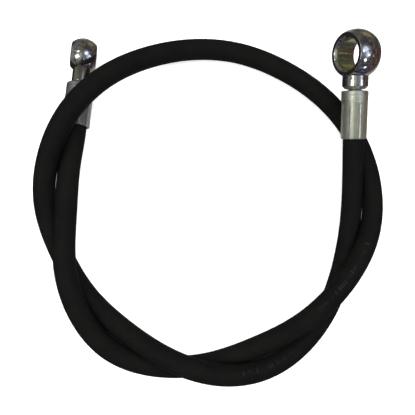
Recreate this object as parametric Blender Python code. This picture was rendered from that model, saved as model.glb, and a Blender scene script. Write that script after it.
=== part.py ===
"""Hydraulic hose assembly: one wire-braided rubber hose with a crimped banjo fitting at each end.

The hose lies flat in a loose coil of about one and three quarter turns, whose two passes cross over and
under each other in turn. Metres, +Z up. The origin is on the surface that the coil lies on, under the
middle of the whole outline. The two banjo ends point towards +Y, the large one on the +X side.
"""

import math

import bmesh
import bpy
import numpy as np
from mathutils import Matrix, Vector

MM = 0.001
GAP = 0.3 * MM

# Hose layers, outside to inside: the radius of each layer's outside and its wall.
COVER_RADIUS = 7.7 * MM
COVER_WALL = 1.2 * MM
BRAID_RADIUS = 6.1 * MM
BRAID_WALL = 0.6 * MM
TUBE_RADIUS = 5.15 * MM
TUBE_WALL = 1.2 * MM
HOSE_RINGS = 74
BEVEL_RESOLUTION = 3

# The free part of the hose from the large fitting to the small one, as points in millimetres that the
# centreline passes through. The coil lies on z = 0, so a strand on the surface has its centre near z = 8.
ROUTE_MM = [
    (103.0, 26.0, 17.5),
    (104.0, -8.0, 8.5),
    (97.5, -42.0, 8.0),
    (84.5, -75.0, 8.0),
    (62.5, -101.5, 9.5),
    (31.5, -116.5, 17.5),
    (-3.0, -117.0, 23.5),
    (-36.0, -105.5, 21.5),
    (-65.0, -87.0, 14.0),
    (-90.5, -63.5, 8.5),
    (-109.0, -33.5, 8.0),
    (-120.0, -0.5, 11.5),
    (-117.0, 31.5, 23.5),
    (-102.5, 61.5, 34.0),
    (-79.0, 87.0, 31.0),
    (-50.5, 105.0, 21.5),
    (-18.5, 116.0, 12.0),
    (16.5, 117.0, 8.0),
    (50.0, 106.5, 8.0),
    (80.0, 88.5, 8.0),
    (104.0, 63.0, 8.0),
    (118.5, 31.5, 8.0),
    (119.5, -3.5, 13.0),
    (106.5, -35.0, 22.0),
    (85.5, -63.0, 23.5),
    (59.0, -85.5, 20.5),
    (28.5, -101.5, 13.0),
    (-4.5, -112.5, 8.0),
    (-39.5, -113.5, 8.0),
    (-72.0, -101.5, 13.5),
    (-94.0, -75.5, 21.0),
    (-104.5, -42.5, 23.5),
    (-105.0, -7.5, 20.5),
    (-103.5, 27.0, 16.5),
]

# Ferrules, the same at both ends but for their length. Distances run along the fitting's axis, from
# the ferrule's eye end.
FERRULE_FRONT_RADIUS = 9.6 * MM
FERRULE_RADIUS = 9.5 * MM
CRIMP_LINE = 8.6 * MM
CRIMP_STEP = 0.5 * MM
FERRULE_CAVITY_RADIUS = 8.1 * MM
FERRULE_CHAMFER = 0.6 * MM
LIP_THICKNESS = 2.2 * MM
LIP_RADIUS = 4.9 * MM
HOSE_SETBACK = 3.9 * MM
STRAIGHT_END = 4.0 * MM

# Stem, the same at both ends: a spigot in the eye's neck, a grooved collar and a barbed tail in the hose.
SPIGOT_RADIUS = 4.5 * MM
SPIGOT_LENGTH = 7.2 * MM
SHOULDER_RADIUS = 6.0 * MM
SHOULDER_THICKNESS = 0.4 * MM
GROOVE_RADIUS = 4.6 * MM
REAR_SHOULDER_RADIUS = 5.6 * MM
REAR_SHOULDER_THICKNESS = 0.8 * MM
BARB_RADIUS = 3.4 * MM
BARB_ROOT_RADIUS = 2.9 * MM
BARB_PITCH = 6.0 * MM
BARB_COUNT = 4
PASSAGE_RADIUS = 1.9 * MM

# Eye passage from the bore into the neck.
PORT_RADIUS = 2.4 * MM
NECK_END_GAP = 1.0 * MM

# Mesh fineness of the turned pieces.
EYE_SEGMENTS = 44
NECK_SEGMENTS = 28
STEM_SEGMENTS = 16
FERRULE_SEGMENTS = 32
SPHERE_STEPS = 8
SMOOTH_ANGLE = math.radians(35)


class Fitting:
    """One banjo end: the sizes of its eye, and where the eye's centre stands and points.

    heading turns the fitting's axis from +Y towards +X, pitch lifts it above the horizontal, and roll
    turns the bore's axis about it. reach is the distance from the eye's centre to the ferrule.
    """

    def __init__(self, name, centre, heading, pitch, roll, ball_radius, width, bore_radius,
                 bore_chamfer, neck_radius, neck_chamfer, neck_start, reach, ferrule_length):
        self.name = name
        self.centre = Vector(centre) * MM
        self.heading = math.radians(heading)
        self.pitch = math.radians(pitch)
        self.roll = math.radians(roll)
        self.ball_radius = ball_radius * MM
        self.width = width * MM
        self.bore_radius = bore_radius * MM
        self.bore_chamfer = bore_chamfer * MM
        self.neck_radius = neck_radius * MM
        self.neck_chamfer = neck_chamfer * MM
        self.neck_start = neck_start * MM
        self.reach = reach * MM
        self.ferrule_length = ferrule_length * MM

    def axis(self):
        """Unit vector along the fitting, from the hose towards the eye."""
        flat = math.cos(self.pitch)
        return Vector((math.sin(self.heading) * flat, math.cos(self.heading) * flat, math.sin(self.pitch)))

    def matrix(self):
        """Frame at the eye's centre: X along the bore, Z along the fitting away from the hose."""
        z_axis = self.axis()
        side = Vector((math.cos(self.heading), -math.sin(self.heading), 0.0))
        top = side.cross(z_axis)
        x_axis = side * math.cos(self.roll) + top * math.sin(self.roll)
        y_axis = z_axis.cross(x_axis)
        rotation = Matrix((x_axis, y_axis, z_axis)).transposed().to_4x4()
        return Matrix.Translation(self.centre) @ rotation

    def on_axis(self, depth):
        """Point on the fitting's axis at a distance from the eye's centre towards the hose."""
        return self.centre - self.axis() * depth


LARGE = Fitting("large_banjo", centre=(97.75, 107.85, 41.5), heading=-3.1, pitch=15.5, roll=-20.9,
                ball_radius=17.8, width=19.3, bore_radius=11.1, bore_chamfer=1.5,
                neck_radius=9.3, neck_chamfer=2.1, neck_start=13.5, reach=25.5, ferrule_length=34.6)
SMALL = Fitting("small_banjo", centre=(-95.5, 107.2, 12.5), heading=5.0, pitch=-2.0, roll=-3.5,
                ball_radius=12.4, width=17.9, bore_radius=7.1, bore_chamfer=0.6,
                neck_radius=6.5, neck_chamfer=0.6, neck_start=9.5, reach=21.7, ferrule_length=30.7)


def clear_scene():
    for item in list(bpy.data.objects):
        bpy.data.objects.remove(item, do_unlink=True)


def make_material(name, colour, roughness, metallic):
    material = bpy.data.materials.new(name)
    material.use_nodes = True
    shader = material.node_tree.nodes["Principled BSDF"]
    shader.inputs["Base Color"].default_value = (*colour, 1.0)
    shader.inputs["Roughness"].default_value = roughness
    shader.inputs["Metallic"].default_value = metallic
    return material


def add_object(name, data, material=None, parent=None):
    item = bpy.data.objects.new(name, data)
    bpy.context.scene.collection.objects.link(item)
    if material is not None:
        data.materials.append(material)
    item.parent = parent
    return item


def turned_mesh(name, profile, segments, axis, closed=True):
    """Mesh of a profile of (radius, height) points turned once about the X or the Z axis.

    A closed profile makes a ring. An open one starts and ends on the axis and makes a rod.
    """
    form = bmesh.new()
    if axis == "X":
        corners = [form.verts.new((height, radius, 0.0)) for radius, height in profile]
        turn_axis = (1.0, 0.0, 0.0)
    else:
        corners = [form.verts.new((radius, 0.0, height)) for radius, height in profile]
        turn_axis = (0.0, 0.0, 1.0)
    first = 0 if closed else 1
    edges = [form.edges.new((corners[i - 1], corners[i])) for i in range(first, len(corners))]
    bmesh.ops.spin(form, geom=corners + edges, cent=(0.0, 0.0, 0.0), axis=turn_axis,
                   angle=math.tau, steps=segments)
    bmesh.ops.remove_doubles(form, verts=form.verts[:], dist=1e-6)
    bmesh.ops.recalc_face_normals(form, faces=form.faces[:])
    mesh = bpy.data.meshes.new(name)
    form.to_mesh(mesh)
    form.free()
    shade_round(mesh)
    return mesh


def rod_mesh(name, radius, low, high, segments, chamfer=0.0):
    """Mesh of a solid rod along Z between two heights, with its low end's edge chamfered."""
    profile = [(0.0, low), (radius - chamfer, low), (radius, low + chamfer), (radius, high), (0.0, high)]
    if not chamfer:
        profile.pop(2)
    return turned_mesh(name, profile, segments, "Z", closed=False)


def shade_round(mesh):
    mesh.shade_smooth()
    mesh.set_sharp_from_angle(angle=SMOOTH_ANGLE)


def add_boolean(item, operation, tool):
    """Joins or cuts with a helper solid, which stays in the scene as a hidden wire guide."""
    tool.hide_render = True
    tool.display_type = "WIRE"
    modifier = item.modifiers.new(tool.name, "BOOLEAN")
    modifier.operation = operation
    modifier.solver = "EXACT"
    modifier.object = tool


def eye_profile(fitting):
    """Section of the eye about its bore: a ball cut by two flat faces and bored through."""
    half = fitting.width / 2
    mouth = fitting.bore_radius + fitting.bore_chamfer
    edge_angle = math.asin(half / fitting.ball_radius)
    arc = []
    for step in range(SPHERE_STEPS + 1):
        angle = edge_angle * (1.0 - 2.0 * step / SPHERE_STEPS)
        arc.append((fitting.ball_radius * math.cos(angle), fitting.ball_radius * math.sin(angle)))
    bore = [
        (mouth, -half),
        (fitting.bore_radius, fitting.bore_chamfer - half),
        (fitting.bore_radius, half - fitting.bore_chamfer),
        (mouth, half),
    ]
    return arc + bore


def build_eye(fitting, base, material):
    neck_end = fitting.reach - NECK_END_GAP
    socket_depth = SPIGOT_LENGTH + GAP
    mesh = turned_mesh(fitting.name + "_eye", eye_profile(fitting), EYE_SEGMENTS, "X")
    eye = add_object(fitting.name + "_eye", mesh, material, base)
    neck = add_object(
        fitting.name + "_neck_guide",
        rod_mesh("neck", fitting.neck_radius, -neck_end, -fitting.neck_start, NECK_SEGMENTS,
                 fitting.neck_chamfer),
        parent=base)
    socket = add_object(
        fitting.name + "_socket_guide",
        rod_mesh("socket", SPIGOT_RADIUS + GAP, -neck_end - 1 * MM, socket_depth - neck_end,
                 STEM_SEGMENTS),
        parent=base)
    port = add_object(
        fitting.name + "_port_guide",
        rod_mesh("port", PORT_RADIUS, -neck_end, 0.0, STEM_SEGMENTS),
        parent=base)
    add_boolean(eye, "UNION", neck)
    add_boolean(eye, "DIFFERENCE", socket)
    add_boolean(eye, "DIFFERENCE", port)
    return eye


def stem_profile(fitting):
    """Section of the stem: spigot, grooved collar and barbed tail around one oil passage."""
    top = -fitting.reach
    front = top + NECK_END_GAP - GAP
    groove_top = front - SHOULDER_THICKNESS
    groove_bottom = top - LIP_THICKNESS - GAP
    tail_top = groove_bottom - REAR_SHOULDER_THICKNESS
    outline = [
        (PASSAGE_RADIUS, front + SPIGOT_LENGTH),
        (SPIGOT_RADIUS, front + SPIGOT_LENGTH),
        (SPIGOT_RADIUS, front),
        (SHOULDER_RADIUS, front),
        (SHOULDER_RADIUS, groove_top),
        (GROOVE_RADIUS, groove_top),
        (GROOVE_RADIUS, groove_bottom),
        (REAR_SHOULDER_RADIUS, groove_bottom),
        (REAR_SHOULDER_RADIUS, tail_top),
    ]
    height = tail_top
    for _ in range(BARB_COUNT):
        outline.append((BARB_RADIUS, height))
        outline.append((BARB_RADIUS, height - 0.4 * BARB_PITCH))
        outline.append((BARB_ROOT_RADIUS, height - BARB_PITCH))
        height -= BARB_PITCH
    outline.append((PASSAGE_RADIUS, height))
    return outline


def build_stem(fitting, base, material):
    mesh = turned_mesh(fitting.name + "_stem", stem_profile(fitting), STEM_SEGMENTS, "Z")
    return add_object(fitting.name + "_stem", mesh, material, base)


def ferrule_profile(fitting):
    """Section of the ferrule: a cup with a turned-in lip at its eye end, open towards the hose.

    Behind the crimp line the cup is pressed to a slightly smaller radius.
    """
    top = -fitting.reach
    bottom = top - fitting.ferrule_length
    return [
        (LIP_RADIUS, top),
        (FERRULE_FRONT_RADIUS - FERRULE_CHAMFER, top),
        (FERRULE_FRONT_RADIUS, top - FERRULE_CHAMFER),
        (FERRULE_FRONT_RADIUS, top - CRIMP_LINE + CRIMP_STEP),
        (FERRULE_RADIUS, top - CRIMP_LINE),
        (FERRULE_RADIUS, bottom + FERRULE_CHAMFER),
        (FERRULE_RADIUS - FERRULE_CHAMFER, bottom),
        (FERRULE_CAVITY_RADIUS, bottom),
        (FERRULE_CAVITY_RADIUS, top - LIP_THICKNESS),
        (LIP_RADIUS, top - LIP_THICKNESS),
    ]


def build_ferrule(fitting, base, material):
    mesh = turned_mesh(fitting.name + "_ferrule", ferrule_profile(fitting), FERRULE_SEGMENTS, "Z")
    return add_object(fitting.name + "_ferrule", mesh, material, base)


def build_fitting(fitting, plating, stem_metal, ferrule_metal):
    base = bpy.data.objects.new(fitting.name + "_base", None)
    bpy.context.scene.collection.objects.link(base)
    base.matrix_world = fitting.matrix()
    build_eye(fitting, base, plating)
    build_stem(fitting, base, stem_metal)
    build_ferrule(fitting, base, ferrule_metal)


def straight_run(fitting):
    """Centreline points on the fitting's axis, from the hose's end to just past the ferrule."""
    start = fitting.reach + HOSE_SETBACK
    stop = fitting.reach + fitting.ferrule_length + STRAIGHT_END
    return [fitting.on_axis(depth) for depth in np.linspace(start, stop, 6)]


def smooth_route(points, count):
    """Evenly spaced points of the natural cubic spline through the given points."""
    points = np.array(points)
    knots = np.concatenate([[0.0], np.cumsum(np.linalg.norm(np.diff(points, axis=0), axis=1))])
    steps = np.diff(knots)
    size = len(knots)
    system = np.eye(size)
    target = np.zeros((size, 3))
    for i in range(1, size - 1):
        system[i, i - 1] = steps[i - 1]
        system[i, i] = 2.0 * (steps[i - 1] + steps[i])
        system[i, i + 1] = steps[i]
        after = (points[i + 1] - points[i]) / steps[i]
        before = (points[i] - points[i - 1]) / steps[i - 1]
        target[i] = 6.0 * (after - before)
    bends = np.linalg.solve(system, target)

    def at(length):
        i = min(max(int(np.searchsorted(knots, length)) - 1, 0), size - 2)
        before = (knots[i + 1] - length) / steps[i]
        after = (length - knots[i]) / steps[i]
        curve = (before ** 3 - before) * bends[i] + (after ** 3 - after) * bends[i + 1]
        return before * points[i] + after * points[i + 1] + curve * steps[i] ** 2 / 6.0

    fine = np.array([at(length) for length in np.linspace(0.0, knots[-1], 40 * count)])
    run = np.concatenate([[0.0], np.cumsum(np.linalg.norm(np.diff(fine, axis=0), axis=1))])
    wanted = np.linspace(0.0, run[-1], count)
    return [[float(np.interp(length, run, fine[:, k])) for k in range(3)] for length in wanted]


def build_layer(name, route, radius, wall, material):
    """One layer of the hose: a tube along the route, hollow and open at both ends."""
    curve = bpy.data.curves.new(name, "CURVE")
    curve.dimensions = "3D"
    curve.bevel_depth = radius
    curve.bevel_resolution = BEVEL_RESOLUTION
    spline = curve.splines.new("POLY")
    spline.points.add(len(route) - 1)
    for point, place in zip(spline.points, route):
        point.co = (*place, 1.0)
    spline.use_smooth = True
    layer = add_object(name, curve, material)
    hollow = layer.modifiers.new("wall", "SOLIDIFY")
    hollow.thickness = wall
    hollow.offset = -1.0
    hollow.use_even_offset = True
    return layer


def build_hose(cover_rubber, braid_wire, tube_rubber):
    middle = [Vector(place) * MM for place in ROUTE_MM]
    route = smooth_route(straight_run(LARGE) + middle + straight_run(SMALL)[::-1], HOSE_RINGS)
    build_layer("hose_cover", route, COVER_RADIUS, COVER_WALL, cover_rubber)
    build_layer("hose_wire_braid", route, BRAID_RADIUS, BRAID_WALL, braid_wire)
    build_layer("hose_inner_tube", route, TUBE_RADIUS, TUBE_WALL, tube_rubber)


def main():
    clear_scene()
    cover_rubber = make_material("cover_rubber", (0.012, 0.012, 0.012), 0.75, 0.0)
    tube_rubber = make_material("tube_rubber", (0.02, 0.02, 0.02), 0.55, 0.0)
    braid_wire = make_material("braid_wire", (0.55, 0.47, 0.32), 0.35, 1.0)
    bright_plating = make_material("bright_plating", (0.72, 0.73, 0.75), 0.12, 1.0)
    stem_steel = make_material("stem_steel", (0.5, 0.5, 0.5), 0.3, 1.0)
    ferrule_zinc = make_material("ferrule_zinc", (0.62, 0.62, 0.58), 0.35, 1.0)
    build_hose(cover_rubber, braid_wire, tube_rubber)
    for fitting in (LARGE, SMALL):
        build_fitting(fitting, bright_plating, stem_steel, ferrule_zinc)


main()
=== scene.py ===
"""Looks of the hydraulic hose assembly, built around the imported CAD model. Metres, +Z up."""

import math

import bmesh
import bpy
import numpy as np
from mathutils import Matrix, Vector


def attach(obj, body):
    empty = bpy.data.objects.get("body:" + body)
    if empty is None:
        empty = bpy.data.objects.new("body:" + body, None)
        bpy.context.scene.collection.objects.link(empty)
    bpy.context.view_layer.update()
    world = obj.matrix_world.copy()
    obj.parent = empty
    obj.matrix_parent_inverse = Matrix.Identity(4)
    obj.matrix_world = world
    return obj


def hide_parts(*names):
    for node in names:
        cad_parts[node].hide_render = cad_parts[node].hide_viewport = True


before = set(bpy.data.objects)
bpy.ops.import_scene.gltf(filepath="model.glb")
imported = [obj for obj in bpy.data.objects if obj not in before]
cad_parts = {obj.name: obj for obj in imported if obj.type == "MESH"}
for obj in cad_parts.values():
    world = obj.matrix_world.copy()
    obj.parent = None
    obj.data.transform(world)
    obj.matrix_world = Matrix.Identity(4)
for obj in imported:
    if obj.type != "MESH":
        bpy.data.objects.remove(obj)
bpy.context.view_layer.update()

MM = 0.001

# Hose sizes, as in the CAD model: each layer's outside radius and its wall.
COVER_RADIUS = 7.7 * MM
COVER_WALL = 1.2 * MM
BRAID_RADIUS = 6.1 * MM
BRAID_WALL = 0.6 * MM
TUBE_RADIUS = 5.15 * MM
TUBE_WALL = 1.2 * MM

# The free part of the hose's route in metres, from the large fitting to the small one, as in the CAD model.
ROUTE = [
    (0.103, 0.026, 0.0175),
    (0.104, -0.008, 0.0085),
    (0.0975, -0.042, 0.008),
    (0.0845, -0.075, 0.008),
    (0.0625, -0.1015, 0.0095),
    (0.0315, -0.1165, 0.0175),
    (-0.003, -0.117, 0.0235),
    (-0.036, -0.1055, 0.0215),
    (-0.065, -0.087, 0.014),
    (-0.0905, -0.0635, 0.0085),
    (-0.109, -0.0335, 0.008),
    (-0.120, -0.0005, 0.0115),
    (-0.117, 0.0315, 0.0235),
    (-0.1025, 0.0615, 0.034),
    (-0.079, 0.087, 0.031),
    (-0.0505, 0.105, 0.0215),
    (-0.0185, 0.116, 0.012),
    (0.0165, 0.117, 0.008),
    (0.050, 0.1065, 0.008),
    (0.080, 0.0885, 0.008),
    (0.104, 0.063, 0.008),
    (0.1185, 0.0315, 0.008),
    (0.1195, -0.0035, 0.013),
    (0.1065, -0.035, 0.022),
    (0.0855, -0.063, 0.0235),
    (0.059, -0.0855, 0.0205),
    (0.0285, -0.1015, 0.013),
    (-0.0045, -0.1125, 0.008),
    (-0.0395, -0.1135, 0.008),
    (-0.072, -0.1015, 0.0135),
    (-0.094, -0.0755, 0.021),
    (-0.1045, -0.0425, 0.0235),
    (-0.105, -0.0075, 0.0205),
    (-0.1035, 0.027, 0.0165),
]
# How finely the hose is drawn: rings along it and points round it, one ring in three for the layers
# inside, steps of the spline for each ring, and points of the straight run in each ferrule.
HOSE_RINGS = 840
HOSE_SIDES = 40
INNER_RINGS = HOSE_RINGS // 3
SPLINE_STEPS = 12
STRAIGHT_POINTS = 6

# Ferrules and stems, the same at both ends but for the ferrule's length. Distances run along the
# fitting from the ferrule's eye end.
FERRULE_FRONT_RADIUS = 9.6 * MM
FERRULE_RADIUS = 9.6 * MM
FERRULE_TAPER = 0.1 * MM
FERRULE_CAVITY_RADIUS = 8.1 * MM
FERRULE_MOUTH_RADIUS = 7.85 * MM
LIP_THICKNESS = 2.2 * MM
LIP_RADIUS = 4.9 * MM
HOSE_SETBACK = 3.9 * MM
STRAIGHT_END = 4.0 * MM
CRIMP_JAWS = 8
CRIMP_FLATNESS = 0.45
CRIMP_LINE = 8.6 * MM
RIDGE_HEIGHT = 0.24 * MM
RIDGE_WIDTH = 0.34 * MM
RIDGE_FADE = 0.8 * MM
LINE_DEPTH = 0.09 * MM
LINE_WIDTH = 0.3 * MM
MOUTH_BEVEL_WIDTH = 0.3 * MM
MOUTH_BEVEL_HEIGHT = 0.25 * MM
MOUTH_LENGTH = 0.8 * MM
MOUTH_FLARE_END = 1.8 * MM
CAVITY_BEVEL = 0.3 * MM
LIP_BEVEL = 0.2 * MM
LIP_FRONT_BEVEL = 0.25 * MM

SPIGOT_RADIUS = 4.5 * MM
SPIGOT_LENGTH = 7.2 * MM
SHOULDER_RADIUS = 6.0 * MM
SHOULDER_THICKNESS = 0.4 * MM
GROOVE_RADIUS = 4.6 * MM
REAR_SHOULDER_RADIUS = 5.6 * MM
REAR_SHOULDER_THICKNESS = 0.8 * MM
BARB_RADIUS = 3.4 * MM
BARB_ROOT_RADIUS = 2.9 * MM
BARB_PITCH = 6.0 * MM
BARB_CREST_SHARE = 0.4
BARB_COUNT = 4
PASSAGE_RADIUS = 1.9 * MM
PORT_RADIUS = 2.4 * MM
NECK_END_GAP = 1.0 * MM
GAP = 0.3 * MM

# Roundings of the metal's edges, and the largest share of a side that a rounding takes.
EYE_EDGE = 0.35 * MM
SEAT_EDGE = 0.15 * MM
BORE_EDGE = 0.2 * MM
NECK_END_EDGE = 0.25 * MM
NECK_SIDE_EDGE = 0.3 * MM
STEM_EDGE = 0.12 * MM
SPIGOT_EDGE = 0.3 * MM
FERRULE_EDGE = 0.7 * MM
ROUNDING_SHARE = 0.45

# How finely the metal is drawn, the angle up to which its faces are shaded as one, and how close two
# points are welded.
EYE_SIDES = 144
NECK_SIDES = 96
STEM_SIDES = 72
FERRULE_SIDES = 160
SPHERE_STEPS = 40
EDGE_STEPS = 5
SMOOTH_ANGLE = math.radians(32)
WELD_DISTANCE = 1e-6

# Camera: nearly overhead, leaning a little towards -X and -Y.
VIEW_AIM = Vector((-0.0039, 0.0001, 0.0))
VIEW_LEAN = Vector((-0.14, -0.09, 1.0))
VIEW_DISTANCE = 0.43
LENS_MM = 50.0
SENSOR_MM = 36.0


class Fitting:
    """One banjo end: the sizes of its eye, and where the eye's centre stands and points."""

    def __init__(self, name, centre, heading, pitch, roll, ball_radius, width, bore_radius, bore_chamfer,
                 neck_radius, neck_chamfer, neck_start, reach, ferrule_length, crimp_turn):
        self.name = name
        self.centre = Vector(centre) * MM
        self.heading = math.radians(heading)
        self.pitch = math.radians(pitch)
        self.roll = math.radians(roll)
        self.ball_radius = ball_radius * MM
        self.width = width * MM
        self.bore_radius = bore_radius * MM
        self.bore_chamfer = bore_chamfer * MM
        self.neck_radius = neck_radius * MM
        self.neck_chamfer = neck_chamfer * MM
        self.neck_start = neck_start * MM
        self.reach = reach * MM
        self.ferrule_length = ferrule_length * MM
        self.crimp_turn = math.radians(crimp_turn)

    def axis(self):
        """Unit vector along the fitting, from the hose towards the eye."""
        flat = math.cos(self.pitch)
        return Vector((math.sin(self.heading) * flat, math.cos(self.heading) * flat, math.sin(self.pitch)))

    def matrix(self):
        """Frame at the eye's centre: X along the bore, Z along the fitting away from the hose."""
        z_axis = self.axis()
        side = Vector((math.cos(self.heading), -math.sin(self.heading), 0.0))
        top = side.cross(z_axis)
        x_axis = side * math.cos(self.roll) + top * math.sin(self.roll)
        y_axis = z_axis.cross(x_axis)
        rotation = Matrix((x_axis, y_axis, z_axis)).transposed().to_4x4()
        return Matrix.Translation(self.centre) @ rotation

    def on_axis(self, depth):
        """Point on the fitting's axis at a distance from the eye's centre towards the hose."""
        return self.centre - self.axis() * depth


LARGE = Fitting("large_banjo", centre=(97.75, 107.85, 41.5), heading=-3.1, pitch=15.5, roll=-20.9,
                ball_radius=17.8, width=19.3, bore_radius=11.1, bore_chamfer=1.5,
                neck_radius=9.3, neck_chamfer=2.1, neck_start=13.5, reach=25.5, ferrule_length=34.6,
                crimp_turn=29.8)
SMALL = Fitting("small_banjo", centre=(-95.5, 107.2, 12.5), heading=5.0, pitch=-2.0, roll=-3.5,
                ball_radius=12.4, width=17.9, bore_radius=7.1, bore_chamfer=0.6,
                neck_radius=6.5, neck_chamfer=0.6, neck_start=9.5, reach=21.7, ferrule_length=30.7,
                crimp_turn=10.0)


# ---------------------------------------------------------------- node helpers

def add_node(tree, kind, inputs=None, **settings):
    """New shader node; an input given as a socket is linked, any other value is set."""
    item = tree.nodes.new("ShaderNode" + kind)
    for key, value in settings.items():
        setattr(item, key, value)
    for key, value in (inputs or {}).items():
        if isinstance(value, bpy.types.NodeSocket):
            tree.links.new(value, item.inputs[key])
        else:
            item.inputs[key].default_value = value
    return item


def calc(tree, operation, first, second=0.0):
    return add_node(tree, "Math", {0: first, 1: second}, operation=operation).outputs[0]


def spread(tree, value, low, high, new_low, new_high):
    """Maps a value's range to a new one, clamped."""
    keys = {"Value": value, "From Min": low, "From Max": high, "To Min": new_low, "To Max": new_high}
    return add_node(tree, "MapRange", keys).outputs["Result"]


def noise(tree, coordinates, scale, detail=3.0, roughness=0.55):
    keys = {"Vector": coordinates, "Scale": scale, "Detail": detail, "Roughness": roughness}
    return add_node(tree, "TexNoise", keys).outputs["Fac"]


def stretched(tree, coordinates, scale):
    return add_node(tree, "Mapping", {"Vector": coordinates, "Scale": scale}).outputs["Vector"]


def mixed(tree, factor, first, second):
    """Colour mixed from two colours or colour sockets."""
    item = add_node(tree, "Mix", data_type="RGBA")
    for key, value in ((0, factor), (6, first), (7, second)):
        if isinstance(value, bpy.types.NodeSocket):
            tree.links.new(value, item.inputs[key])
        else:
            item.inputs[key].default_value = value
    return item.outputs[2]


def bump(tree, height, strength, distance, normal=None):
    keys = {"Height": height, "Strength": strength, "Distance": distance}
    if normal is not None:
        keys["Normal"] = normal
    return add_node(tree, "Bump", keys).outputs["Normal"]


def new_material(name, **constants):
    """Material with a Principled shader; the constants are set on the shader's own sockets."""
    material = bpy.data.materials.new(name)
    material.use_nodes = True
    tree = material.node_tree
    shader = tree.nodes["Principled BSDF"]
    for key, value in constants.items():
        shader.inputs[key.replace("_", " ")].default_value = value
    return material, tree, shader


def connect(tree, shader, **sockets):
    for key, value in sockets.items():
        tree.links.new(value, shader.inputs[key.replace("_", " ")])


def object_place(tree):
    return add_node(tree, "TexCoord").outputs["Object"]


# ---------------------------------------------------------------- materials

# The worn print on top of the hose: where it starts and stops along the hose, and its rows of thin bars.
PRINT_STRETCHES = [(0.204, 0.262), (0.858, 0.928)]
PRINT_PITCH = 0.0021
PRINT_SHARE = 0.4
PRINT_CENTRE = 0.455
PRINT_HALF_WIDTH = 0.04

# The cloth's imprint: threads round the hose, threads along it, and the turns of the wrapped tape.
THREADS_AROUND = 60
THREAD_PITCH = 0.0008
TAPE_PITCH = 0.031
TAPE_EDGE = 0.035

# Darker and lighter zinc of each ferrule: the large one is more olive, the small one bluer. Then how
# strongly its marks show, and half the length over which they change at the crimp line.
ZINC_COLOURS = {
    "large_banjo": ((0.50, 0.53, 0.45, 1.0), (0.67, 0.68, 0.54, 1.0)),
    "small_banjo": ((0.24, 0.26, 0.29, 1.0), (0.40, 0.42, 0.45, 1.0)),
}
MARK_SHARES = {"large_banjo": 0.6, "small_banjo": 0.35}
CRIMP_LINE_BLEND = 0.3 * MM

# The flat of each ferrule with painted shade: its middle, counted in flats from crimp_turn, the cosines of
# the angles from there between which it fades, and how far it takes on its colour.
SHADED_FLAT_PLACE = 4.67
SHADED_FLAT_COSINES = (0.950, 0.975)
SHADED_FLAT_SHARE = 0.55
SHADED_FLAT_COLOUR = (0.28, 0.29, 0.25, 1.0)

# The eyes: how far each neck is tinted olive, the tint's colour and its fade at the ball, how far outside
# the bore's radius its duller plating reaches, and the fade of that.
NECK_OLIVE_SHARES = {"large_banjo": 0.1, "small_banjo": 0.75}
NECK_OLIVE_COLOUR = (0.36, 0.34, 0.25, 1.0)
NECK_OLIVE_FADE = 0.5 * MM
BORE_MARGIN = 0.25 * MM
BORE_FADE = 0.1 * MM

# The braid: carriers each way round, the distance along the hose between them, and the wires in each.
BRAID_CARRIERS = 12
BRAID_PITCH = 0.0046
WIRES_PER_CARRIER = 6


def hose_place(tree):
    """The share of the way round the hose, with 0.5 on top, and the distance along it in metres."""
    place = add_node(tree, "UVMap", uv_map="hose").outputs["UV"]
    parts = add_node(tree, "SeparateXYZ", {"Vector": place})
    return parts.outputs["X"], parts.outputs["Y"]


def wave(tree, value, per_unit):
    """Sine of a value that repeats so many times in one unit."""
    return calc(tree, "SINE", calc(tree, "MULTIPLY", value, math.tau * per_unit))


def cloth_mark(tree, around, along):
    """Height of the woven wrap's imprint: a plain weave of threads along and round the hose."""
    return calc(tree, "MULTIPLY", wave(tree, around, THREADS_AROUND), wave(tree, along, 1.0 / THREAD_PITCH))


def tape_edge(tree, around, along):
    """The low step that each turn of the wrapping tape leaves, as a helix along the hose."""
    turn = calc(tree, "FRACT", calc(tree, "ADD", calc(tree, "DIVIDE", along, TAPE_PITCH), around))
    return spread(tree, turn, 0.0, TAPE_EDGE, 1.0, 0.0)


def print_mask(tree, around, along, worn):
    """Worn grey bars of random lengths in a row on top of the hose, on two stretches."""
    place = calc(tree, "DIVIDE", along, PRINT_PITCH)
    chance = add_node(tree, "TexWhiteNoise", {"W": calc(tree, "FLOOR", place)}, noise_dimensions="1D")
    half = spread(tree, chance.outputs["Value"], 0.25, 1.0, 0.0, PRINT_HALF_WIDTH)
    across = calc(tree, "ABSOLUTE", calc(tree, "SUBTRACT", around, PRINT_CENTRE))
    on_line = calc(tree, "LESS_THAN", across, half)
    in_dash = calc(tree, "LESS_THAN", calc(tree, "FRACT", place), PRINT_SHARE)
    here = 0.0
    for start, stop in PRINT_STRETCHES:
        inside = calc(tree, "MULTIPLY", calc(tree, "GREATER_THAN", along, start),
                      calc(tree, "LESS_THAN", along, stop))
        here = calc(tree, "ADD", inside, here)
    mask = calc(tree, "MULTIPLY", calc(tree, "MULTIPLY", on_line, in_dash), here)
    return calc(tree, "MULTIPLY", mask, spread(tree, worn, 0.35, 0.6, 0.15, 1.0))


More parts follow.
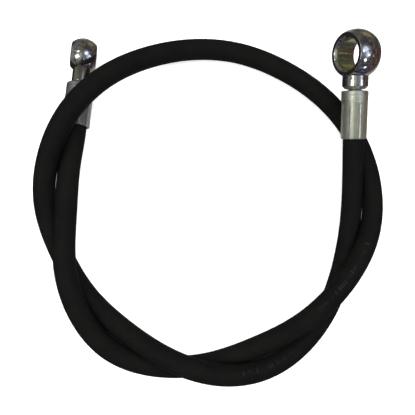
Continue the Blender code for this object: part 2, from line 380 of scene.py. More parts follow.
def cover_rubber_material():
    """Black cloth-wrapped rubber: woven imprint, tape edges, dusty scuffs and a worn print."""
    material, tree, shader = new_material("hose_cover_rubber", Specular_IOR_Level=0.06)
    around, along = hose_place(tree)
    place = object_place(tree)
    blotch = noise(tree, place, 38.0, 4.0)
    streak = noise(tree, stretched(tree, add_node(tree, "UVMap", uv_map="hose").outputs["UV"],
                                   (34.0, 26.0, 1.0)), 1.0, 4.0, 0.6)
    colour = mixed(tree, spread(tree, blotch, 0.3, 0.7, 0.0, 1.0),
                   (0.0036, 0.0036, 0.0037, 1.0), (0.0056, 0.0054, 0.0048, 1.0))
    scuff = spread(tree, noise(tree, place, 130.0, 6.0, 0.65), 0.56, 0.78, 0.0, 0.35)
    colour = mixed(tree, scuff, colour, (0.0085, 0.0083, 0.0078, 1.0))
    colour = mixed(tree, spread(tree, streak, 0.55, 0.75, 0.0, 0.3), colour, (0.0075, 0.0073, 0.0068, 1.0))
    edge = tape_edge(tree, around, along)
    colour = mixed(tree, calc(tree, "MULTIPLY", edge, 0.25), colour, (0.008, 0.0078, 0.0072, 1.0))
    printed = print_mask(tree, around, along, noise(tree, place, 150.0, 3.0))
    colour = mixed(tree, calc(tree, "MULTIPLY", printed, 0.5), colour, (0.032, 0.032, 0.030, 1.0))
    rough = spread(tree, blotch, 0.2, 0.8, 0.55, 0.75)
    surface = bump(tree, cloth_mark(tree, around, along), 0.5, 0.00012)
    surface = bump(tree, edge, 0.35, 0.0002, surface)
    surface = bump(tree, noise(tree, place, 900.0, 3.0, 0.7), 0.3, 0.0002, surface)
    surface = bump(tree, noise(tree, place, 70.0, 2.0), 0.2, 0.0012, surface)
    connect(tree, shader, Base_Color=colour, Roughness=rough, Normal=surface)
    return material


def tube_rubber_material():
    material, tree, shader = new_material("hose_tube_rubber", Specular_IOR_Level=0.4)
    place = object_place(tree)
    cloud = noise(tree, place, 60.0, 4.0)
    colour = mixed(tree, cloud, (0.008, 0.008, 0.008, 1.0), (0.018, 0.017, 0.016, 1.0))
    rough = spread(tree, cloud, 0.3, 0.7, 0.35, 0.5)
    connect(tree, shader, Base_Color=colour, Roughness=rough,
            Normal=bump(tree, noise(tree, place, 700.0), 0.2, 0.0002))
    return material


def braid_wire_material():
    """Brass-coated wires crossing at a steep angle, over and under each other."""
    material, tree, shader = new_material("hose_braid_wire", Metallic=1.0)
    around, along = hose_place(tree)
    turns = calc(tree, "MULTIPLY", around, float(BRAID_CARRIERS))
    rise = calc(tree, "DIVIDE", along, BRAID_PITCH)
    leftwards = calc(tree, "ADD", turns, rise)
    rightwards = calc(tree, "SUBTRACT", turns, rise)
    woven = calc(tree, "MAXIMUM", wave(tree, leftwards, 1.0), wave(tree, rightwards, 1.0))
    wires = calc(tree, "MULTIPLY", wave(tree, leftwards, WIRES_PER_CARRIER), 0.25)
    height = calc(tree, "ADD", woven, wires)
    # Painted shade: the colour darkens where the weave is low and the wires dip under each other.
    colour = mixed(tree, spread(tree, woven, 0.0, 1.0, 0.0, 1.0),
                   (0.16, 0.11, 0.05, 1.0), (0.72, 0.58, 0.34, 1.0))
    rough = spread(tree, height, 0.0, 1.2, 0.5, 0.26)
    connect(tree, shader, Base_Color=colour, Roughness=rough, Normal=bump(tree, height, 0.8, 0.0004))
    return material


def bright_plating_material(fitting):
    """Polished plating with a slight ripple and haze, olive-tinted neck, and a duller, olive yellow bore.
    """
    material, tree, shader = new_material(fitting.name + "_bright_plating", Metallic=0.99)
    place = object_place(tree)
    parts = add_node(tree, "SeparateXYZ", {"Vector": place})
    across, along = parts.outputs["Y"], parts.outputs["Z"]
    from_bore = calc(tree, "SQRT", calc(tree, "ADD", calc(tree, "MULTIPLY", across, across),
                                        calc(tree, "MULTIPLY", along, along)))
    edge = fitting.bore_radius + BORE_MARGIN
    in_bore = spread(tree, from_bore, edge, edge + BORE_FADE, 1.0, 0.0)
    cloud = noise(tree, place, 90.0, 4.0)
    haze = noise(tree, place, 700.0, 5.0, 0.7)
    stain = spread(tree, noise(tree, place, 45.0, 3.0), 0.42, 0.68, 0.0, 1.0)
    colour = mixed(tree, cloud, (0.60, 0.60, 0.61, 1.0), (0.76, 0.75, 0.74, 1.0))
    colour = mixed(tree, calc(tree, "MULTIPLY", stain, 0.35), colour, (0.50, 0.44, 0.42, 1.0))
    bore_colour = mixed(tree, noise(tree, place, 160.0, 5.0, 0.65),
                        (0.42, 0.47, 0.28, 1.0), (0.76, 0.84, 0.62, 1.0))
    colour = mixed(tree, in_bore, colour, bore_colour)
    on_neck = spread(tree, along, -fitting.neck_start, NECK_OLIVE_FADE - fitting.neck_start,
                     NECK_OLIVE_SHARES[fitting.name], 0.0)
    colour = mixed(tree, on_neck, colour, NECK_OLIVE_COLOUR)
    rough = spread(tree, haze, 0.3, 0.75, 0.05, 0.12)
    rough = calc(tree, "ADD", rough, calc(tree, "MULTIPLY", in_bore, 0.12))
    ripple = bump(tree, noise(tree, place, 170.0, 2.0), 0.22, 0.0008)
    ripple = bump(tree, haze, 0.06, 0.0002, ripple)
    scratch = noise(tree, stretched(tree, place, (1.0, 1.0, 14.0)), 500.0, 3.0)
    connect(tree, shader, Base_Color=colour, Roughness=rough,
            Normal=bump(tree, scratch, 0.02, 0.0003, ripple))
    return material


def stem_steel_material():
    material, tree, shader = new_material("stem_steel", Metallic=1.0)
    place = object_place(tree)
    turning = noise(tree, stretched(tree, place, (1.0, 1.0, 60.0)), 260.0, 3.0)
    colour = mixed(tree, noise(tree, place, 120.0), (0.24, 0.23, 0.21, 1.0), (0.40, 0.39, 0.36, 1.0))
    rough = spread(tree, turning, 0.3, 0.7, 0.26, 0.42)
    connect(tree, shader, Base_Color=colour, Roughness=rough, Normal=bump(tree, turning, 0.25, 0.0002))
    return material


def ferrule_zinc_material(fitting):
    """Dull zinc plating, drawn lengthwise by the dies, with fine turned lines ahead of the crimp.

    The ridges that the dies left are rubbed smooth and have a painted highlight; one flat has painted
    shade.
    """
    material, tree, shader = new_material(fitting.name + "_ferrule_zinc", Metallic=0.93)
    place = object_place(tree)
    parts = add_node(tree, "SeparateXYZ", {"Vector": place})
    height = parts.outputs["Z"]
    angle = calc(tree, "ARCTAN2", parts.outputs["Y"], parts.outputs["X"])
    turn = calc(tree, "SUBTRACT", angle, fitting.crimp_turn)
    phase = calc(tree, "FRACT", calc(tree, "DIVIDE", turn, math.tau / CRIMP_JAWS))
    from_ridge = calc(tree, "SUBTRACT", 0.5, calc(tree, "ABSOLUTE", calc(tree, "SUBTRACT", phase, 0.5)))
    ahead = spread(tree, height, -CRIMP_LINE - CRIMP_LINE_BLEND, -CRIMP_LINE + CRIMP_LINE_BLEND, 0.0, 1.0)
    cloud = noise(tree, place, 130.0, 4.0)
    drawn = noise(tree, stretched(tree, place, (1.0, 1.0, 0.03)), 900.0, 4.0, 0.75)
    turned = noise(tree, stretched(tree, place, (0.03, 0.03, 1.0)), 900.0, 4.0, 0.75)
    marks = mixed(tree, ahead, drawn, turned)
    speck = spread(tree, noise(tree, place, 1500.0, 2.0), 0.66, 0.74, 0.0, 0.4)
    colour = mixed(tree, spread(tree, cloud, 0.3, 0.7, 0.0, 1.0), *ZINC_COLOURS[fitting.name])
    mark_share = spread(tree, marks, 0.42, 0.62, 0.0, MARK_SHARES[fitting.name])
    colour = mixed(tree, mark_share, colour, (0.90, 0.90, 0.80, 1.0))
    colour = mixed(tree, speck, colour, (0.18, 0.17, 0.14, 1.0))
    # Painted shade on one flat, behind the crimp line.
    off_shaded_flat = calc(tree, "SUBTRACT", turn, SHADED_FLAT_PLACE * math.tau / CRIMP_JAWS)
    behind = calc(tree, "SUBTRACT", 1.0, ahead)
    flat_shade = spread(tree, calc(tree, "COSINE", off_shaded_flat), *SHADED_FLAT_COSINES, 0.0, SHADED_FLAT_SHARE)
    colour = mixed(tree, calc(tree, "MULTIPLY", flat_shade, behind), colour, SHADED_FLAT_COLOUR)
    # Ridges rubbed smooth: lower roughness, and a painted highlight mixed into their colour.
    ridge_polish_and_highlight = calc(tree, "MULTIPLY", spread(tree, from_ridge, 0.04, 0.1, 1.0, 0.0), behind)
    colour = mixed(tree, calc(tree, "MULTIPLY", ridge_polish_and_highlight, 0.8), colour, (1.0, 1.0, 0.92, 1.0))
    rough = calc(tree, "ADD", spread(tree, cloud, 0.3, 0.7, 0.29, 0.38),
                 spread(tree, marks, 0.35, 0.65, 0.06, -0.06))
    rough = calc(tree, "SUBTRACT", rough, calc(tree, "MULTIPLY", ridge_polish_and_highlight, 0.1))
    surface = bump(tree, marks, 0.7, 0.0003)
    connect(tree, shader, Base_Color=colour, Roughness=rough,
            Normal=bump(tree, cloud, 0.15, 0.0005, surface))
    return material


def lit_beside(tree, place, start, stop):
    """0 within SHADED_WIDTH of the line between two points, and 1 past LIT_WIDTH."""
    run = Vector(stop) - Vector(start)
    offset = add_node(tree, "VectorMath", {0: place, 1: start}, operation="SUBTRACT").outputs["Vector"]
    keys = {0: offset, 1: run / run.length_squared}
    share = add_node(tree, "VectorMath", keys, operation="DOT_PRODUCT").outputs["Value"]
    keys = {0: run, "Scale": spread(tree, share, 0.0, 1.0, 0.0, 1.0)}
    nearest = add_node(tree, "VectorMath", keys, operation="SCALE").outputs["Vector"]
    away = add_node(tree, "VectorMath", {0: offset, 1: nearest}, operation="DISTANCE").outputs["Value"]
    return spread(tree, away, SHADED_WIDTH, LIT_WIDTH, 0.0, 1.0)


def floor_material():
    material, tree, shader = new_material("floor", Roughness=0.9, Specular_IOR_Level=0.05)
    place = object_place(tree)
    colour = mixed(tree, noise(tree, place, 2.0, 3.0), (0.87, 0.87, 0.87, 1.0), (0.89, 0.89, 0.89, 1.0))
    # Painted shadow on the floor along the two slits between strands of the hose.
    for start, stop in SHADED_SLITS:
        colour = mixed(tree, lit_beside(tree, place, start, stop), SHADED_COLOUR, colour)
    far = add_node(tree, "VectorMath", {0: place}, operation="LENGTH").outputs["Value"]
    glow = spread(tree, far, *HORIZON_RANGE, FLOOR_GLOW, HORIZON_GLOW)
    connect(tree, shader, Base_Color=colour, Emission_Color=colour, Emission_Strength=glow)
    return material


def backdrop_material():
    material, tree, shader = new_material("backdrop", Emission_Strength=1.0, Specular_IOR_Level=0.0)
    cloud = noise(tree, object_place(tree), 0.5, 2.0)
    connect(tree, shader, Emission_Color=mixed(tree, cloud, (0.97, 0.97, 0.97, 1.0), (1.0, 1.0, 1.0, 1.0)))
    return material


# ---------------------------------------------------------------- shape helpers

def place_object(name, mesh, material, matrix=None):
    item = bpy.data.objects.new(name, mesh)
    bpy.context.scene.collection.objects.link(item)
    if matrix is not None:
        item.matrix_world = matrix
    mesh.materials.clear()
    mesh.materials.append(material)
    return item


def shade_round(mesh):
    mesh.shade_smooth()
    mesh.set_sharp_from_angle(angle=SMOOTH_ANGLE)


def rounded(profile, closed=True, steps=4):
    """Profile points from (radius, height, rounding) corners, each corner rounded by a short curve."""
    points = []
    count = len(profile)
    for i, (radius, height, size) in enumerate(profile):
        corner = Vector((radius, height))
        if size <= 0.0 or (not closed and i in (0, count - 1)):
            points.append(corner)
            continue
        before = Vector(profile[i - 1][:2]) - corner
        after = Vector(profile[(i + 1) % count][:2]) - corner
        start = corner + before.normalized() * min(size, before.length * ROUNDING_SHARE)
        stop = corner + after.normalized() * min(size, after.length * ROUNDING_SHARE)
        for step in range(steps + 1):
            t = step / steps
            points.append(start * (1 - t) ** 2 + corner * 2 * t * (1 - t) + stop * t ** 2)
    return [(point.x, point.y) for point in points]


def turned_mesh(name, profile, sides, axis="Z", closed=True):
    """Mesh of a profile of (radius, height) points turned once about the X or the Z axis."""
    form = bmesh.new()
    if axis == "X":
        corners = [form.verts.new((height, radius, 0.0)) for radius, height in profile]
        turn_axis = (1.0, 0.0, 0.0)
    else:
        corners = [form.verts.new((radius, 0.0, height)) for radius, height in profile]
        turn_axis = (0.0, 0.0, 1.0)
    first = 0 if closed else 1
    edges = [form.edges.new((corners[i - 1], corners[i])) for i in range(first, len(corners))]
    bmesh.ops.spin(form, geom=corners + edges, cent=(0.0, 0.0, 0.0), axis=turn_axis,
                   angle=math.tau, steps=sides)
    bmesh.ops.remove_doubles(form, verts=form.verts[:], dist=WELD_DISTANCE)
    bmesh.ops.recalc_face_normals(form, faces=form.faces[:])
    mesh = bpy.data.meshes.new(name)
    form.to_mesh(mesh)
    form.free()
    return mesh


def rod_mesh(name, radius, low, high, sides):
    return turned_mesh(name, [(0.0, low), (radius, low), (radius, high), (0.0, high)], sides, closed=False)


def combined_mesh(name, base, steps):
    """Mesh of a base joined or cut with other meshes, one after another."""
    helpers = [bpy.data.objects.new(name + "_base", base)]
    for operation, mesh in steps:
        helper = bpy.data.objects.new(name + "_tool", mesh)
        helpers.append(helper)
        modifier = helpers[0].modifiers.new("cut", "BOOLEAN")
        modifier.operation = operation
        modifier.solver = "EXACT"
        modifier.object = helper
    for helper in helpers:
        bpy.context.scene.collection.objects.link(helper)
    bpy.context.view_layer.update()
    evaluated = helpers[0].evaluated_get(bpy.context.evaluated_depsgraph_get())
    result = bpy.data.meshes.new_from_object(evaluated)
    result.name = name
    for helper in helpers:
        bpy.data.objects.remove(helper)
    return result


# ---------------------------------------------------------------- hose

def straight_run(fitting):
    """Centreline points on the fitting's axis, from the hose's end to just past the ferrule."""
    start = fitting.reach + HOSE_SETBACK
    stop = fitting.reach + fitting.ferrule_length + STRAIGHT_END
    return [fitting.on_axis(depth) for depth in np.linspace(start, stop, STRAIGHT_POINTS)]


def smooth_route(points, count):
    """Evenly spaced points of the natural cubic spline through the given points, and its length."""
    points = np.array(points)
    knots = np.concatenate([[0.0], np.cumsum(np.linalg.norm(np.diff(points, axis=0), axis=1))])
    steps = np.diff(knots)
    size = len(knots)
    system = np.eye(size)
    target = np.zeros((size, 3))
    slopes = np.diff(points, axis=0) / steps[:, None]
    for i in range(1, size - 1):
        system[i, i - 1] = steps[i - 1]
        system[i, i] = 2.0 * (steps[i - 1] + steps[i])
        system[i, i + 1] = steps[i]
        target[i] = 6.0 * (slopes[i] - slopes[i - 1])
    bends = np.linalg.solve(system, target)
    lengths = np.linspace(0.0, knots[-1], SPLINE_STEPS * count)
    spans = np.clip(np.searchsorted(knots, lengths) - 1, 0, size - 2)
    before = ((knots[spans + 1] - lengths) / steps[spans])[:, None]
    after = ((lengths - knots[spans]) / steps[spans])[:, None]
    pull = (before ** 3 - before) * bends[spans] + (after ** 3 - after) * bends[spans + 1]
    fine = before * points[spans] + after * points[spans + 1] + pull * steps[spans, None] ** 2 / 6.0
    run = np.concatenate([[0.0], np.cumsum(np.linalg.norm(np.diff(fine, axis=0), axis=1))])
    wanted = np.linspace(0.0, run[-1], count)
    return np.stack([np.interp(wanted, run, fine[:, k]) for k in range(3)], axis=1), float(run[-1])


def layer_mesh(name, centres, length, radius, wall, sides):
    """A hollow tube round the centreline, its "hose" map giving the way round and along it."""
    tangents = np.gradient(centres, axis=0)
    tangents /= np.linalg.norm(tangents, axis=1)[:, None]
    side = np.cross(tangents, [0.0, 0.0, 1.0])
    side /= np.linalg.norm(side, axis=1)[:, None]
    top = np.cross(side, tangents)
    angles = math.tau * np.arange(sides) / sides
    count = len(centres)
    rings = []
    for ring_radius in (radius, radius - wall):
        # The first point of each ring is underneath, so the map's seam is out of sight.
        out = (-np.cos(angles)[None, :, None] * top[:, None, :]
               + np.sin(angles)[None, :, None] * side[:, None, :])
        rings.append((centres[:, None, :] + ring_radius * out).reshape(-1, 3))
    corners = np.concatenate(rings)
    inner = count * sides
    faces = []
    maps = []
    for i in range(count - 1):
        low = length * i / (count - 1)
        high = length * (i + 1) / (count - 1)
        for j in range(sides):
            k = (j + 1) % sides
            a, b, c, d = i * sides + j, i * sides + k, (i + 1) * sides + k, (i + 1) * sides + j
            uv = [(j / sides, low), ((j + 1) / sides, low), ((j + 1) / sides, high), (j / sides, high)]
            faces.append((a, b, c, d))
            maps.extend(uv)
            faces.append((inner + d, inner + c, inner + b, inner + a))
            maps.extend(uv[::-1])
    for i, flip in ((0, True), (count - 1, False)):
        for j in range(sides):
            k = (j + 1) % sides
            quad = [i * sides + j, i * sides + k, inner + i * sides + k, inner + i * sides + j]
            uv = [(j / sides, 0.0), ((j + 1) / sides, 0.0), ((j + 1) / sides, 0.0), (j / sides, 0.0)]
            faces.append(tuple(quad if flip else quad[::-1])[::-1])
            maps.extend(uv)
    mesh = bpy.data.meshes.new(name)
    mesh.from_pydata(corners.tolist(), [], faces)
    layer = mesh.uv_layers.new(name="hose")
    layer.data.foreach_set("uv", np.array(maps, dtype=np.float32).ravel())
    form = bmesh.new()
    form.from_mesh(mesh)
    bmesh.ops.recalc_face_normals(form, faces=form.faces[:])
    form.to_mesh(mesh)
    form.free()
    shade_round(mesh)
    return mesh


def build_hose():
    points = straight_run(LARGE) + [Vector(place) for place in ROUTE] + straight_run(SMALL)[::-1]
    centres, length = smooth_route(points, HOSE_RINGS)
    cover = place_object(
        "hose_cover_skin",
        layer_mesh("hose_cover_skin", centres, length, COVER_RADIUS, COVER_WALL, HOSE_SIDES),
        cover_rubber_material())
    inner_centres, _ = smooth_route(points, INNER_RINGS)
    braid = place_object(
        "hose_braid_sleeve",
        layer_mesh("hose_braid_sleeve", inner_centres, length, BRAID_RADIUS, BRAID_WALL, HOSE_SIDES),
        braid_wire_material())
    tube = place_object(
        "hose_liner",
        layer_mesh("hose_liner", inner_centres, length, TUBE_RADIUS, TUBE_WALL, HOSE_SIDES),
        tube_rubber_material())
    for piece, node, slot in ((cover, "hose_cover", "cover_rubber"),
                              (braid, "hose_wire_braid", "braid_wire"),
                              (tube, "hose_inner_tube", "tube_rubber")):
        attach(piece, "root")
        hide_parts(node)
    return cover, braid, tube, centres, length


# ---------------------------------------------------------------- fittings

def eye_profile(fitting):
    """Section of the eye about its bore: a ball cut by two flat faces and bored through."""
    half = fitting.width / 2
    mouth = fitting.bore_radius + fitting.bore_chamfer
    edge_angle = math.asin(half / fitting.ball_radius)
    arc = []
    for step in range(SPHERE_STEPS + 1):
        angle = edge_angle * (1.0 - 2.0 * step / SPHERE_STEPS)
        size = EYE_EDGE if step in (0, SPHERE_STEPS) else 0.0
        arc.append((fitting.ball_radius * math.cos(angle), fitting.ball_radius * math.sin(angle), size))
    bore = [
        (mouth, -half, SEAT_EDGE),
        (fitting.bore_radius, fitting.bore_chamfer - half, BORE_EDGE),
        (fitting.bore_radius, half - fitting.bore_chamfer, BORE_EDGE),
        (mouth, half, SEAT_EDGE),
    ]
    return rounded(arc + bore)


def neck_mesh(fitting):
    """Solid neck from inside the eye's wall to its chamfered end."""
    end = fitting.reach - NECK_END_GAP
    radius = fitting.neck_radius
    chamfer = fitting.neck_chamfer
    outline = [
        (0.0, -end, 0.0),
        (radius - chamfer, -end, NECK_END_EDGE),
        (radius, chamfer - end, NECK_SIDE_EDGE),
        (radius, -fitting.neck_start, 0.0),
        (0.0, -fitting.neck_start, 0.0),
    ]
    return turned_mesh(fitting.name + "_neck", rounded(outline, closed=False), NECK_SIDES, closed=False)


def build_eye(fitting, material):
    neck_end = fitting.reach - NECK_END_GAP
    socket_top = SPIGOT_LENGTH + GAP - neck_end
    ball = turned_mesh(fitting.name + "_ball", eye_profile(fitting), EYE_SIDES, axis="X")
    mesh = combined_mesh(fitting.name + "_polished_eye", ball, [
        ("UNION", neck_mesh(fitting)),
        ("DIFFERENCE", rod_mesh("socket", SPIGOT_RADIUS + GAP, -neck_end - MM, socket_top, STEM_SIDES)),
        ("DIFFERENCE", rod_mesh("port", PORT_RADIUS, -neck_end, 0.0, STEM_SIDES)),
    ])
    shade_round(mesh)
    piece = place_object(fitting.name + "_polished_eye", mesh, material, fitting.matrix())
    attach(piece, "root")
    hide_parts(fitting.name + "_eye")
    return piece


def stem_profile(fitting):
    """Section of the stem: spigot, grooved collar and barbed tail around one oil passage."""
    top = -fitting.reach
    front = top + NECK_END_GAP - GAP
    groove_top = front - SHOULDER_THICKNESS
    groove_bottom = top - LIP_THICKNESS - GAP
    tail_top = groove_bottom - REAR_SHOULDER_THICKNESS
    outline = [
        (PASSAGE_RADIUS, front + SPIGOT_LENGTH, SPIGOT_EDGE),
        (SPIGOT_RADIUS, front + SPIGOT_LENGTH, SPIGOT_EDGE),
        (SPIGOT_RADIUS, front, 0.0),
        (SHOULDER_RADIUS, front, STEM_EDGE),
        (SHOULDER_RADIUS, groove_top, STEM_EDGE),
        (GROOVE_RADIUS, groove_top, STEM_EDGE),
        (GROOVE_RADIUS, groove_bottom, STEM_EDGE),
        (REAR_SHOULDER_RADIUS, groove_bottom, STEM_EDGE),
        (REAR_SHOULDER_RADIUS, tail_top, STEM_EDGE),
    ]
    height = tail_top
    for _ in range(BARB_COUNT):
        outline.append((BARB_RADIUS, height, STEM_EDGE))
        outline.append((BARB_RADIUS, height - BARB_CREST_SHARE * BARB_PITCH, STEM_EDGE))
        outline.append((BARB_ROOT_RADIUS, height - BARB_PITCH, STEM_EDGE))
        height -= BARB_PITCH
    outline.append((PASSAGE_RADIUS, height, STEM_EDGE))
    return rounded(outline)


def build_stem(fitting, material):
    mesh = turned_mesh(fitting.name + "_turned_stem", stem_profile(fitting), STEM_SIDES)
    shade_round(mesh)
    piece = place_object(fitting.name + "_turned_stem", mesh, material, fitting.matrix())
    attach(piece, "root")
    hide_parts(fitting.name + "_stem")
    return piece


def crimp_radius(angle, depth, length):
    """The ferrule's outside radius: round ahead of CRIMP_LINE, and pressed to eight flats behind it.

    There is a fine ridge between each two flats, and a shallow ring groove where the dies' edge stood.
    """
    jaw = math.tau / CRIMP_JAWS
    from_middle = (angle % jaw) - jaw / 2
    flat = math.cos(jaw / 2) / math.cos(from_middle)
    pressed = 1.0 - CRIMP_FLATNESS * (1.0 - flat)
    past = max(0.0, depth - CRIMP_LINE) / (length - CRIMP_LINE)
    body = (FERRULE_RADIUS - FERRULE_TAPER * past) * pressed
    from_ridge = (jaw / 2 - abs(from_middle)) * FERRULE_RADIUS
    ridge = RIDGE_HEIGHT * math.exp(-(from_ridge / RIDGE_WIDTH) ** 2)
    past_line = 1.0 / (1.0 + math.exp((CRIMP_LINE - depth) / RIDGE_FADE))
    groove = LINE_DEPTH * math.exp(-((depth - CRIMP_LINE) / LINE_WIDTH) ** 2)
    return FERRULE_FRONT_RADIUS + (body + ridge - FERRULE_FRONT_RADIUS) * past_line - groove


def ferrule_stations(length):
    """Outside of the ferrule as (depth, radius share) from the eye end to the hose end, edges rounded."""
    start = []
    for step in range(EDGE_STEPS + 1):
        turn = math.pi / 2 * step / EDGE_STEPS
        share = 1.0 - FERRULE_EDGE / FERRULE_RADIUS * (1 - math.sin(turn))
        start.append((FERRULE_EDGE * (1 - math.cos(turn)), share))
    end = [(length - depth, share) for depth, share in reversed(start)]
    near_line = [CRIMP_LINE + LINE_WIDTH * offset for offset in (-3, -2, -1.2, -0.6, 0, 0.6, 1.2, 2, 3)]
    ahead = [CRIMP_LINE * share for share in (0.25, 0.5, 0.75)]
    pressed = length - CRIMP_LINE
    behind = [CRIMP_LINE + pressed * share for share in (0.12, 0.25, 0.45, 0.65, 0.85, 0.93)]
    return start, [(depth, 1.0) for depth in ahead + near_line + behind], end


def ferrule_mesh(fitting):
    """The crimped ferrule in its own frame, with its eye end at z = 0 and the hose below it."""
    length = fitting.ferrule_length
    start, middle, end = ferrule_stations(length)
    form = bmesh.new()
    rings = []

    def ring(height, radius_at):
        corners = []
        for j in range(FERRULE_SIDES):
            angle = math.tau * j / FERRULE_SIDES
            radius = radius_at(angle)
            turned = angle + fitting.crimp_turn
            place = (radius * math.cos(turned), radius * math.sin(turned), height)
            corners.append(form.verts.new(place))
        rings.append(corners)

    for depth, share in start + middle + end:
        ring(-depth, lambda angle, d=depth, s=share: crimp_radius(angle, d, length) * s)
    bottom = -length
    inside = [
        (FERRULE_MOUTH_RADIUS + MOUTH_BEVEL_WIDTH, bottom),
        (FERRULE_MOUTH_RADIUS, bottom + MOUTH_BEVEL_HEIGHT),
        (FERRULE_MOUTH_RADIUS, bottom + MOUTH_LENGTH),
        (FERRULE_CAVITY_RADIUS, bottom + MOUTH_FLARE_END),
        (FERRULE_CAVITY_RADIUS, -LIP_THICKNESS - CAVITY_BEVEL),
        (FERRULE_CAVITY_RADIUS - CAVITY_BEVEL, -LIP_THICKNESS),
        (LIP_RADIUS + LIP_BEVEL, -LIP_THICKNESS),
        (LIP_RADIUS, -LIP_THICKNESS + LIP_BEVEL),
        (LIP_RADIUS, -LIP_FRONT_BEVEL),
        (LIP_RADIUS + LIP_FRONT_BEVEL, 0.0),
    ]
    for radius, height in inside:
        ring(height, lambda angle, r=radius: r)
    for i in range(len(rings)):
        this, following = rings[i], rings[(i + 1) % len(rings)]
        for j in range(FERRULE_SIDES):
            k = (j + 1) % FERRULE_SIDES
            form.faces.new((this[j], this[k], following[k], following[j]))
    bmesh.ops.recalc_face_normals(form, faces=form.faces[:])
    mesh = bpy.data.meshes.new(fitting.name + "_crimped_ferrule")
    form.to_mesh(mesh)
    form.free()
    shade_round(mesh)
    return mesh


def build_ferrule(fitting, material):
    place = fitting.matrix() @ Matrix.Translation((0.0, 0.0, -fitting.reach))
    piece = place_object(fitting.name + "_crimped_ferrule", ferrule_mesh(fitting), material, place)
    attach(piece, "root")
    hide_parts(fitting.name + "_ferrule")
    return piece


# ---------------------------------------------------------------- stage, light and camera

# Small lamps and windows that the polished metal mirrors: direction from the object, width and height
# at LAMP_DISTANCE, brightness and colour.
LAMP_DISTANCE = 1.3
LAMPS = [
    ("window", (-0.66, -0.22, 0.70), (0.34, 0.62), 2.5, (1.0, 0.99, 0.96)),
    ("left_lamp", (-0.55, 0.28, 0.79), (0.15, 0.30), 3.4, (1.0, 1.0, 1.0)),
    ("key_lamp", (0.26, 0.03, 0.96), (0.15, 0.15), 2.6, (0.82, 0.91, 1.0)),
    ("right_panel", (0.67, -0.16, 0.73), (0.16, 0.28), 1.4, (0.92, 0.96, 1.0)),
    ("right_lamp", (0.47, -0.56, 0.68), (0.17, 0.26), 2.6, (0.95, 0.98, 1.0)),
    ("side_lamp", (0.90, -0.11, 0.42), (0.08, 0.08), 1.3, (1.0, 0.97, 0.85)),
    ("near_lamp", (0.02, -0.54, 0.84), (0.12, 0.12), 1.6, (0.9, 0.95, 1.0)),
    ("low_lamp", (0.59, -0.79, 0.17), (0.15, 0.15), 2.4, (0.85, 0.92, 1.0)),
]
SOFT_PLACE = (-0.2, 0.2, 1.9)
SOFT_SIZE = 3.0
SOFT_BRIGHTNESS = 3.4

# The floor glows a little, and more towards the horizon. It has a painted shadow along two slits where
# strands of the hose almost touch: the ends of each slit on the floor, half its width, and where it is lit
# again.
FLOOR_HEIGHT = -0.0004
FLOOR_GLOW = 0.55
HORIZON_GLOW = 1.2
HORIZON_RANGE = (0.5, 2.5)
SHADED_SLITS = [
    ((-0.0777, -0.0884, 0.0), (-0.0664, -0.0977, 0.0)),
    ((0.0292, -0.1131, 0.0), (0.0469, -0.1064, 0.0)),
]
SHADED_WIDTH = 0.0014
LIT_WIDTH = 1.5 * SHADED_WIDTH
SHADED_COLOUR = (0.018, 0.018, 0.018, 1.0)
BACKDROP_RADIUS = 3.9
FLOOR_SIZE = 2.1 * BACKDROP_RADIUS

# The room that the metal mirrors: a colour for each side, for the shade between things, for the table,
# and round patches as (direction, inner and outer radius in degrees, colour).
ROOM_LEFT = (0.30, 0.31, 0.28, 1.0)
ROOM_RIGHT = (0.085, 0.046, 0.03, 1.0)
ROOM_FAR = (0.11, 0.105, 0.08, 1.0)
ROOM_NEAR = (0.045, 0.046, 0.10, 1.0)
ROOM_SHADE = (0.012, 0.011, 0.014, 1.0)
ROOM_THINGS = (0.24, 0.25, 0.25, 1.0)
TABLE_LEFT = (0.014, 0.013, 0.015, 1.0)
TABLE_RIGHT = (0.40, 0.41, 0.38, 1.0)
ROOM_PATCHES = [
    ((0.45, 0.89, 0.05), 3.0, 17.0, (0.34, 0.27, 0.14, 1.0)),
    ((0.25, 0.60, 0.76), 6.0, 26.0, (0.045, 0.036, 0.06, 1.0)),
    ((-0.50, -0.25, 0.83), 10.0, 28.0, (0.55, 0.55, 0.42, 1.0)),
    ((0.36, -0.10, 0.93), 10.0, 36.0, (0.22, 0.27, 0.38, 1.0)),
    ((0.36, 0.05, 0.93), 5.0, 17.0, (1.2, 1.4, 1.7, 1.0)),
    ((0.56, -0.28, 0.78), 5.0, 15.0, (1.1, 1.2, 1.3, 1.0)),
]


def build_stage():
    """A plain pale floor and a pale dome round it; neither is mirrored in the metal."""
    bpy.ops.mesh.primitive_plane_add(size=FLOOR_SIZE, location=(0.0, 0.0, FLOOR_HEIGHT))
    floor = bpy.context.active_object
    floor.name = "floor"
    floor.data.materials.append(floor_material())
    floor.visible_glossy = False
    bpy.ops.mesh.primitive_uv_sphere_add(segments=48, ring_count=24, radius=BACKDROP_RADIUS)
    dome = bpy.context.active_object
    dome.name = "backdrop"
    dome.data.materials.append(backdrop_material())
    dome.visible_glossy = False
    dome.visible_diffuse = False
    dome.visible_shadow = False
    dome.visible_transmission = False


def add_area_light(name, place, size, brightness, colour):
    """Rectangular light facing the object; its brightness is what a mirror would show."""
    light = bpy.data.lights.new(name, "AREA")
    light.shape = "RECTANGLE"
    light.size, light.size_y = size
    light.energy = brightness * math.pi * size[0] * size[1]
    light.color = colour
    item = bpy.data.objects.new(name, light)
    item.location = place
    item.rotation_euler = (-Vector(place)).to_track_quat("-Z", "Y").to_euler()
    bpy.context.scene.collection.objects.link(item)
    return item


def patch(tree, direction, aim, inner, outer):
    """How far a direction lies within a round patch of the room: 1 inside inner degrees, 0 past outer."""
    keys = {0: direction, 1: Vector(aim).normalized()}
    nearness = add_node(tree, "VectorMath", keys, operation="DOT_PRODUCT").outputs["Value"]
    return spread(tree, nearness, math.cos(math.radians(outer)), math.cos(math.radians(inner)), 0.0, 1.0)


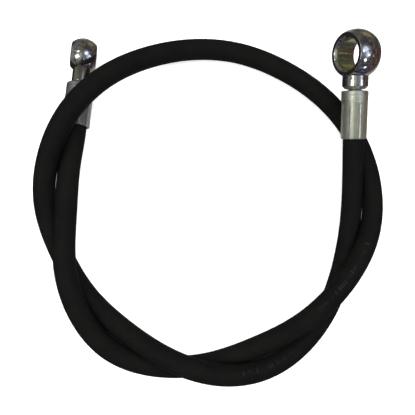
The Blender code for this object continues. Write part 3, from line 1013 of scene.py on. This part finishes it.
def build_room():
    """World that mostly the metal mirrors: a dim cluttered room over a table, pale on the +X side."""
    world = bpy.data.worlds.new("room")
    bpy.context.scene.world = world
    world.use_nodes = True
    tree = world.node_tree
    direction = add_node(tree, "TexCoord").outputs["Generated"]
    parts = add_node(tree, "SeparateXYZ", {"Vector": direction})
    x, y, z = parts.outputs["X"], parts.outputs["Y"], parts.outputs["Z"]
    clutter = noise(tree, direction, 3.2, 4.0, 0.6)
    room = mixed(tree, spread(tree, x, -0.6, 0.35, 0.0, 1.0), ROOM_LEFT, ROOM_RIGHT)
    room = mixed(tree, spread(tree, y, 0.2, 0.7, 0.0, 0.8), room, ROOM_FAR)
    room = mixed(tree, spread(tree, y, -0.85, -0.45, 0.85, 0.0), room, ROOM_NEAR)
    room = mixed(tree, spread(tree, clutter, 0.38, 0.56, 0.85, 0.0), room, ROOM_SHADE)
    things = noise(tree, stretched(tree, direction, (1.0, 1.3, 1.8)), 4.5, 3.0)
    room = mixed(tree, spread(tree, things, 0.54, 0.66, 0.0, 0.6), room, ROOM_THINGS)
    broken = spread(tree, noise(tree, direction, 6.0, 3.0), 0.36, 0.56, 0.35, 1.0)
    for aim, inner, outer, colour in ROOM_PATCHES:
        near = calc(tree, "MULTIPLY", patch(tree, direction, aim, inner, outer), broken)
        room = mixed(tree, near, room, colour)
    table = mixed(tree, spread(tree, x, -0.55, 0.25, 0.0, 1.0), TABLE_LEFT, TABLE_RIGHT)
    low = spread(tree, x, -0.3, 0.3, -0.1, -0.55)
    room = mixed(tree, spread(tree, calc(tree, "SUBTRACT", z, low), -0.2, 0.1, 0.0, 1.0), table, room)
    background = tree.nodes["Background"]
    tree.links.new(room, background.inputs["Color"])
    background.inputs["Strength"].default_value = 1.0


def build_lights():
    for name, direction, size, brightness, colour in LAMPS:
        add_area_light(name, Vector(direction).normalized() * LAMP_DISTANCE, size, brightness, colour)
    soft = add_area_light("soft_box", SOFT_PLACE, (SOFT_SIZE, SOFT_SIZE), SOFT_BRIGHTNESS, (1.0, 1.0, 1.0))
    soft.visible_glossy = False
    build_room()


def build_camera():
    data = bpy.data.cameras.new("camera")
    data.lens = LENS_MM
    data.sensor_width = SENSOR_MM
    data.clip_start = 0.01
    data.clip_end = 50.0
    data.dof.use_dof = False
    camera = bpy.data.objects.new("camera", data)
    bpy.context.scene.collection.objects.link(camera)
    backward = VIEW_LEAN.normalized()
    right = Vector((0.0, 1.0, 0.0)).cross(backward).normalized()
    up = backward.cross(right)
    turn = Matrix((right, up, backward)).transposed().to_4x4()
    camera.matrix_world = Matrix.Translation(VIEW_AIM + backward * VIEW_DISTANCE) @ turn
    bpy.context.scene.camera = camera


def main():
    build_camera()
    cover, braid, liner, centres, length = build_hose()
    steel = stem_steel_material()
    for fitting in (LARGE, SMALL):
        build_eye(fitting, bright_plating_material(fitting))
        build_stem(fitting, steel)
        build_ferrule(fitting, ferrule_zinc_material(fitting))
    build_stage()
    build_lights()
    bpy.context.scene.view_settings.view_transform = "Standard"


main()
